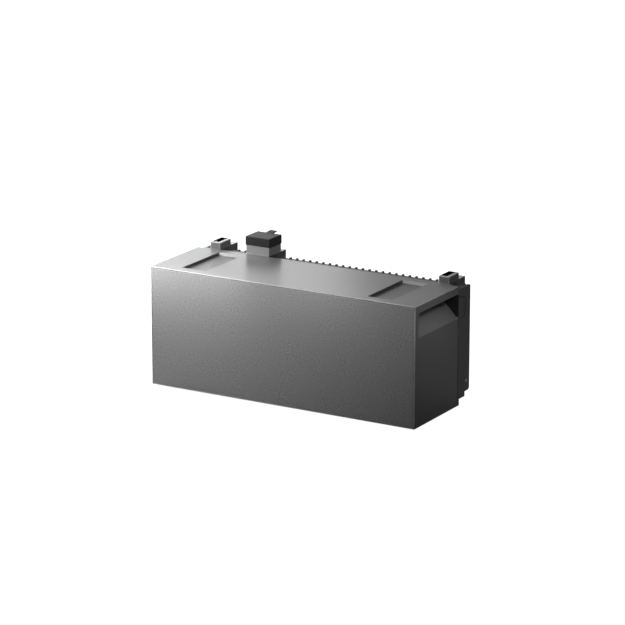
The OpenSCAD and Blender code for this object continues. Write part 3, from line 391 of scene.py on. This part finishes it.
def bumped(tree, height, shader, distance, strength):
    """Feeds a height into the shader's normal."""
    bump = tree.nodes.new("ShaderNodeBump")
    bump.inputs["Strength"].default_value = strength
    bump.inputs["Distance"].default_value = distance
    tree.links.new(height, bump.inputs["Height"])
    tree.links.new(bump.outputs[0], shader.inputs["Normal"])


def finished(tree, shader, base, highlight, layer):
    """Painted highlight on bevels and leaning walls, and one band laid in another colour, over a base
    colour.
    """
    if layer:
        axis, low, high, colour = layer
        band = group_node(tree, "Layer", Axis=axis, Low=low, High=high)
        base = covered(tree, band.outputs["Mask"], base, colour)
    highlight_mask = group_node(tree, "PaintedHighlight", Amount=highlight)
    # painted highlight: bevels and leaning walls, such as the pockets' rear walls and the grip's ramp,
    # are laid over with a pale colour
    tree.links.new(covered(tree, highlight_mask.outputs["Mask"], base, PAINTED_HIGHLIGHT), shader.inputs["Base Color"])


def powder_coat(name, colour, grain, rough, speckle, highlight, bump=0.25, layer=None):
    """Baked powder coat over sheet or cast metal; grain is the speckle's size in metres."""
    material, tree, shader = blank_material(name, colour)
    coat = group_node(tree, "PowderGrain", Grain_Scale=1.0 / grain, Speckle=speckle)
    finished(tree, shader, tinted(tree, coat.outputs["Shade"], colour), highlight, layer)
    roughness = scaled(tree, coat.outputs["Height"], rough + COAT_SWING, rough - COAT_SWING)
    tree.links.new(roughness, shader.inputs["Roughness"])
    bumped(tree, coat.outputs["Height"], shader, COAT_RELIEF, bump)
    return material


def moulding(name, colour, rough, pits=900.0, contrast=0.1, bump=0.3, highlight=0.0, layer=None, gloss=0.5):
    """Moulded plastic or rubber with an eroded skin; pits is how many of them a metre holds."""
    material, tree, shader = blank_material(name, colour)
    skin = group_node(tree, "MouldGrain", Grain_Scale=pits, Contrast=contrast)
    finished(tree, shader, tinted(tree, skin.outputs["Shade"], colour), highlight, layer)
    shader.inputs["Specular IOR Level"].default_value = gloss
    roughness = scaled(tree, skin.outputs["Height"], rough - SKIN_SWING, rough + SKIN_SWING)
    tree.links.new(roughness, shader.inputs["Roughness"])
    bumped(tree, skin.outputs["Height"], shader, SKIN_RELIEF, bump)
    return material


def bare_metal(name, colour):
    """Drawn or plated bare metal."""
    material, tree, shader = blank_material(name, colour)
    lines = group_node(tree, "DrawnLines", Contrast=0.15)
    tree.links.new(tinted(tree, lines.outputs["Shade"], colour), shader.inputs["Base Color"])
    tree.links.new(lines.outputs["Roughness"], shader.inputs["Roughness"])
    shader.inputs["Metallic"].default_value = 1.0
    bumped(tree, lines.outputs["Height"], shader, LINE_RELIEF, 0.15)
    return material


def dress(node, material):
    """Gives a CAD node's object its finish."""
    thing = NODES[node]
    if not thing.material_slots:
        thing.data.materials.append(material)
    for slot in thing.material_slots:
        slot.material = material


def dress_all(nodes, material):
    for node in nodes:
        dress(node, material)


def rounded_blocks(size, radius, places):
    """One mesh with a round-edged block centred on each place."""
    blocks = bmesh.new()
    for place in places:
        block = bmesh.new()
        bmesh.ops.create_cube(block, size=1.0)
        bmesh.ops.scale(block, verts=block.verts, vec=size)
        bmesh.ops.bevel(block, geom=block.edges[:], offset=radius, offset_type="OFFSET", segments=3,
                        profile=0.5, affect="EDGES", material=-1, clamp_overlap=True)
        bmesh.ops.translate(block, verts=block.verts, vec=place)
        data = bpy.data.meshes.new("block")
        block.to_mesh(data)
        block.free()
        blocks.from_mesh(data)
        bpy.data.meshes.remove(data)
    return blocks


def new_piece(name, mesh, material):
    """Links a finished bmesh as a piece of the module."""
    bmesh.ops.recalc_face_normals(mesh, faces=mesh.faces)
    data = bpy.data.meshes.new(name)
    mesh.to_mesh(data)
    mesh.free()
    for polygon in data.polygons:
        polygon.use_smooth = True
    data.materials.append(material)
    piece = bpy.data.objects.new(name, data)
    bpy.context.scene.collection.objects.link(piece)
    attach(piece, BODY)


def lamp(name, place, aim, size, spread, power):
    """Soft box lamp that faces its aim, with a grid that narrows its spread in degrees."""
    data = bpy.data.lights.new(name, "AREA")
    data.shape = "RECTANGLE"
    data.size, data.size_y = size
    data.spread = math.radians(spread)
    data.energy = power
    thing = bpy.data.objects.new(name, data)
    bpy.context.scene.collection.objects.link(thing)
    away = (Vector(place) - Vector(aim)).normalized()
    thing.matrix_world = Matrix.Translation(place) @ away.to_track_quat("Z", "Y").to_matrix().to_4x4()


def white_to_rays(tree):
    """Strength that is white to the camera and through glass, and faint in reflections."""
    rays = tree.nodes.new("ShaderNodeLightPath")
    seen = maths(tree, "MAXIMUM", rays.outputs["Is Camera Ray"], rays.outputs["Is Transmission Ray"])
    mirrored = maths(tree, "MULTIPLY", rays.outputs["Is Glossy Ray"], GLOSSY_SHARE)
    return maths(tree, "MAXIMUM", seen, mirrored)


def studio_floor():
    """Pale floor that looks white to the camera and keeps a soft shadow."""
    material, tree, shader = blank_material("StudioFloor", (0.8, 0.8, 0.8))
    shader.inputs["Base Color"].default_value = FLOOR_GREY
    shader.inputs["Roughness"].default_value = 0.9
    glow = tree.nodes.new("ShaderNodeEmission")
    tree.links.new(white_to_rays(tree), glow.inputs["Strength"])
    both = tree.nodes.new("ShaderNodeAddShader")
    tree.links.new(shader.outputs[0], both.inputs[0])
    tree.links.new(glow.outputs[0], both.inputs[1])
    tree.links.new(both.outputs[0], tree.nodes["Material Output"].inputs["Surface"])
    return material


# Operators
class DressCase(bpy.types.Operator):
    """Coats the front panel, the top cover, the side covers and the tray"""
    bl_idname = "battery_module.dress_case"
    bl_label = "Coat the case"

    def execute(self, context):
        coats = context.scene.battery_coats
        front = powder_coat("FrontPowderCoat", coats.front, coats.grain, rough=0.5, speckle=1.2, highlight=0.25)
        dress("front_panel", front)
        # painted shade: the pockets' floors and walls, and the strip below the cover's front bevel, are
        # painted a shade darker
        pocket_shadow = (*SHADED_POCKETS, darker(coats.cover, POCKET_PAINTED_SHADE))
        cover = powder_coat("CoverSemiGloss", coats.cover, coats.grain * COVER_GRAIN, rough=0.3,
                            speckle=0.05, highlight=0.70, bump=0.06, layer=pocket_shadow)
        dress("top_cover", cover)
        # painted highlight: a pale strip along the side covers' front edge
        side = powder_coat("SidePowderCoat", coats.side, coats.grain, rough=0.45,
                           speckle=0.06, highlight=0.2, layer=(*FRONT_EDGE_HIGHLIGHT, EDGE_HIGHLIGHT_GREY))
        dress_all(("left_side_cover", "right_side_cover", "bottom_tray"), side)
        return {"FINISHED"}


class DressHousing(bpy.types.Operator):
    """Coats the finned rear housing and finishes its plugs, screws and seal"""
    bl_idname = "battery_module.dress_housing"
    bl_label = "Coat the rear housing"

    def execute(self, context):
        coats = context.scene.battery_coats
        shades = context.scene.battery_mouldings
        # the column tops, and a thin strip of wall just below them, are a paler grey
        casting = powder_coat("CastingCoat", coats.casting, coats.grain, rough=0.5,
                              speckle=0.22, highlight=0.08, bump=0.5, layer=(*COLUMN_TOPS, COLUMN_TOP_GREY))
        dress("rear_housing", casting)
        black = powder_coat("FrameBlackCoat", (0.02, 0.02, 0.02), coats.grain, rough=0.6,
                            speckle=0.2, highlight=0.05)
        dress("rear_frame", black)
        dress("side_plugs", moulding("PlugPlastic", darker(coats.casting, PLUG_SHADE), 0.5, pits=700.0))
        rubber = moulding("SealRubber", (0.008, 0.008, 0.008), 0.7, pits=400.0)
        dress_all(("rear_gasket", "stacking_feet", "base_pad", "thermal_pad"), rubber)
        steel = bare_metal("ZincPlate", (0.55, 0.55, 0.56))
        dress_all(("rear_screws", "earth_screws", "foot_screws", "tray_screws", "guide_screws",
                   "pack_straps", "pack_brackets", "board_standoffs", "board_screws"), steel)
        dress("breather_vent", moulding("VentPlastic", shades.black, 0.55))
        return {"FINISHED"}


class DressGuides(bpy.types.Operator):
    """Finishes the stacking guides, their black liners and the pins below"""
    bl_idname = "battery_module.dress_guides"
    bl_label = "Finish the stacking guides"

    def execute(self, context):
        shades = context.scene.battery_mouldings
        # painted highlight: a pale band round the guides' top rim
        grey = moulding("GuidePlastic", shades.grey, 0.42, pits=800.0, highlight=0.6,
                        layer=(*GUIDE_RIM_HIGHLIGHT, RIM_HIGHLIGHT_GREY))
        dress_all(("left_guide_socket", "right_guide_socket", "guide_pins"), grey)
        dress("connector_base", moulding("ShroudPlastic", shades.shroud, 0.42, pits=800.0, highlight=0.3))
        dress("guide_liners", moulding("LinerPlastic", shades.black, 0.6, gloss=0.1))
        # a pale skin round the left liner's key: 0.55 mm proud at its rear, 0.15 mm on its other faces
        low = Vector(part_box("guide_liners")[0])
        key = rounded_blocks(KEY_SIZE, TRIM_RADIUS, [low + Vector(KEY_PLACE)])
        pale = moulding("KeyPlastic", shades.key, 0.5)
        new_piece("guide_key_face", key, pale)
        return {"FINISHED"}


class DressConnector(bpy.types.Operator):
    """Finishes the pass-through connector and its rubber cap"""
    bl_idname = "battery_module.dress_connector"
    bl_label = "Finish the connector"

    def execute(self, context):
        shades = context.scene.battery_mouldings
        rubber = moulding("CapRubber", shades.rubber, 0.6, pits=600.0, contrast=0.12, bump=0.4, gloss=0.4)
        dress("connector_cap", rubber)
        # grip ribs across the pull tab, half sunk in its top
        places = [Vector((RIB_X, FIRST_RIB_Y + RIB_PITCH * k, TAB_TOP)) for k in range(RIB_COUNT)]
        ribs = rounded_blocks(RIB_SIZE, TRIM_RADIUS, places)
        new_piece("cap_tab_ribs", ribs, rubber)
        dress_all(("contact_block", "bottom_plug"), moulding("ContactBlockPlastic", shades.black, 0.5))
        plated = bare_metal("PlatedCopper", (0.72, 0.50, 0.26))
        dress_all(("power_contacts", "signal_contacts", "plug_contacts", "cell_busbars", "pack_leads",
                   "board_bars", "output_bars", "inductors"), plated)
        return {"FINISHED"}


class DressPack(bpy.types.Operator):
    """Finishes the cells and the electronics inside"""
    bl_idname = "battery_module.dress_pack"
    bl_label = "Finish the cells and boards"

    def execute(self, context):
        film = moulding("CellFilm", (0.05, 0.14, 0.34), 0.3, pits=300.0, contrast=0.06, bump=0.1)
        dress("battery_cells", film)
        dress("cell_spacers", moulding("SpacerSheet", (0.62, 0.60, 0.55), 0.7, pits=500.0))
        aluminium = bare_metal("BareAluminium", (0.70, 0.71, 0.72))
        dress_all(("end_plates", "heat_spreader"), aluminium)
        board = moulding("CircuitBoard", (0.03, 0.14, 0.07), 0.35, pits=260.0, contrast=0.5, bump=0.2)
        dress_all(("sense_board", "power_board", "bms_board"), board)
        dress_all(("sense_ribbon", "main_fuse"), moulding("PaleHousing", (0.45, 0.45, 0.43), 0.5))
        black = moulding("ComponentBlack", (0.02, 0.02, 0.022), 0.4, pits=700.0)
        dress_all(("power_switches", "capacitors", "contactor"), black)
        return {"FINISHED"}


class BuildStudio(bpy.types.Operator):
    """Adds the floor, the soft boxes, the white surround and the camera"""
    bl_idname = "battery_module.build_studio"
    bl_label = "Build the studio"

    def execute(self, context):
        scene = context.scene
        studio = scene.battery_studio
        scene.view_settings.view_transform = "Standard"
        # floor: a wide disc
        mesh = bmesh.new()
        bmesh.ops.create_circle(mesh, cap_ends=True, segments=64, radius=FLOOR_RADIUS)
        data = bpy.data.meshes.new("StudioFloor")
        mesh.to_mesh(data)
        mesh.free()
        data.materials.append(studio_floor())
        floor = bpy.data.objects.new("StudioFloor", data)
        scene.collection.objects.link(floor)
        for name, place, aim, size, spread, power in SOFT_BOXES:
            lamp(name, place, aim, size, spread, power * studio.light)
        # surround: seen as the floor is, and giving no light to matt surfaces
        world = bpy.data.worlds.new("StudioSurround")
        world.use_nodes = True
        scene.world = world
        tree = world.node_tree
        back = tree.nodes["Background"]
        back.inputs["Color"].default_value = (1.0, 1.0, 1.0, 1.0)
        tree.links.new(white_to_rays(tree), back.inputs["Strength"])
        # camera: the photograph's angle
        a, e = studio.azimuth, studio.elevation
        ahead = Vector((-math.sin(a) * math.cos(e), math.cos(a) * math.cos(e), -math.sin(e)))
        right = ahead.cross(Vector((0, 0, 1))).normalized()
        up = right.cross(ahead)
        base = Vector((0.0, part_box("front_panel")[0][1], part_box("bottom_tray")[0][2]))
        eye = base - ahead * studio.distance + right * PICTURE_RIGHT + up * PICTURE_UP
        data = bpy.data.cameras.new("ProductCamera")
        data.lens = studio.focal
        data.sensor_width = 36.0
        data.clip_end = 60.0
        camera = bpy.data.objects.new("ProductCamera", data)
        turn = Matrix((right, up, -ahead)).transposed().to_4x4()
        camera.matrix_world = Matrix.Translation(eye) @ turn
        scene.collection.objects.link(camera)
        scene.camera = camera
        return {"FINISHED"}


class SidebarPanel(bpy.types.Panel):
    """Lists the steps that dress the module"""
    bl_idname = "VIEW3D_PT_battery_module"
    bl_label = "Battery Module"
    bl_space_type = "VIEW_3D"
    bl_region_type = "UI"
    bl_category = "Battery Module"

    def draw(self, context):
        layout = self.layout
        for owner in ("battery_coats", "battery_mouldings", "battery_studio"):
            group = getattr(context.scene, owner)
            column = layout.column()
            for key in group.__annotations__:
                column.prop(group, key)
        for step in STEPS:
            layout.operator(step.bl_idname)


STEPS = (DressCase, DressHousing, DressGuides, DressConnector, DressPack, BuildStudio)
CLASSES = (CoatSettings, MouldingSettings, StudioSettings) + STEPS + (SidebarPanel,)


def register():
    for cls in CLASSES:
        bpy.utils.register_class(cls)
    bpy.types.Scene.battery_coats = bpy.props.PointerProperty(type=CoatSettings)
    bpy.types.Scene.battery_mouldings = bpy.props.PointerProperty(type=MouldingSettings)
    bpy.types.Scene.battery_studio = bpy.props.PointerProperty(type=StudioSettings)


def unregister():
    del bpy.types.Scene.battery_studio
    del bpy.types.Scene.battery_mouldings
    del bpy.types.Scene.battery_coats
    for cls in reversed(CLASSES):
        bpy.utils.unregister_class(cls)


def main():
    register()
    for step in STEPS:
        area, name = step.bl_idname.split(".")
        getattr(getattr(bpy.ops, area), name)()


if __name__ == "__main__":
    main()
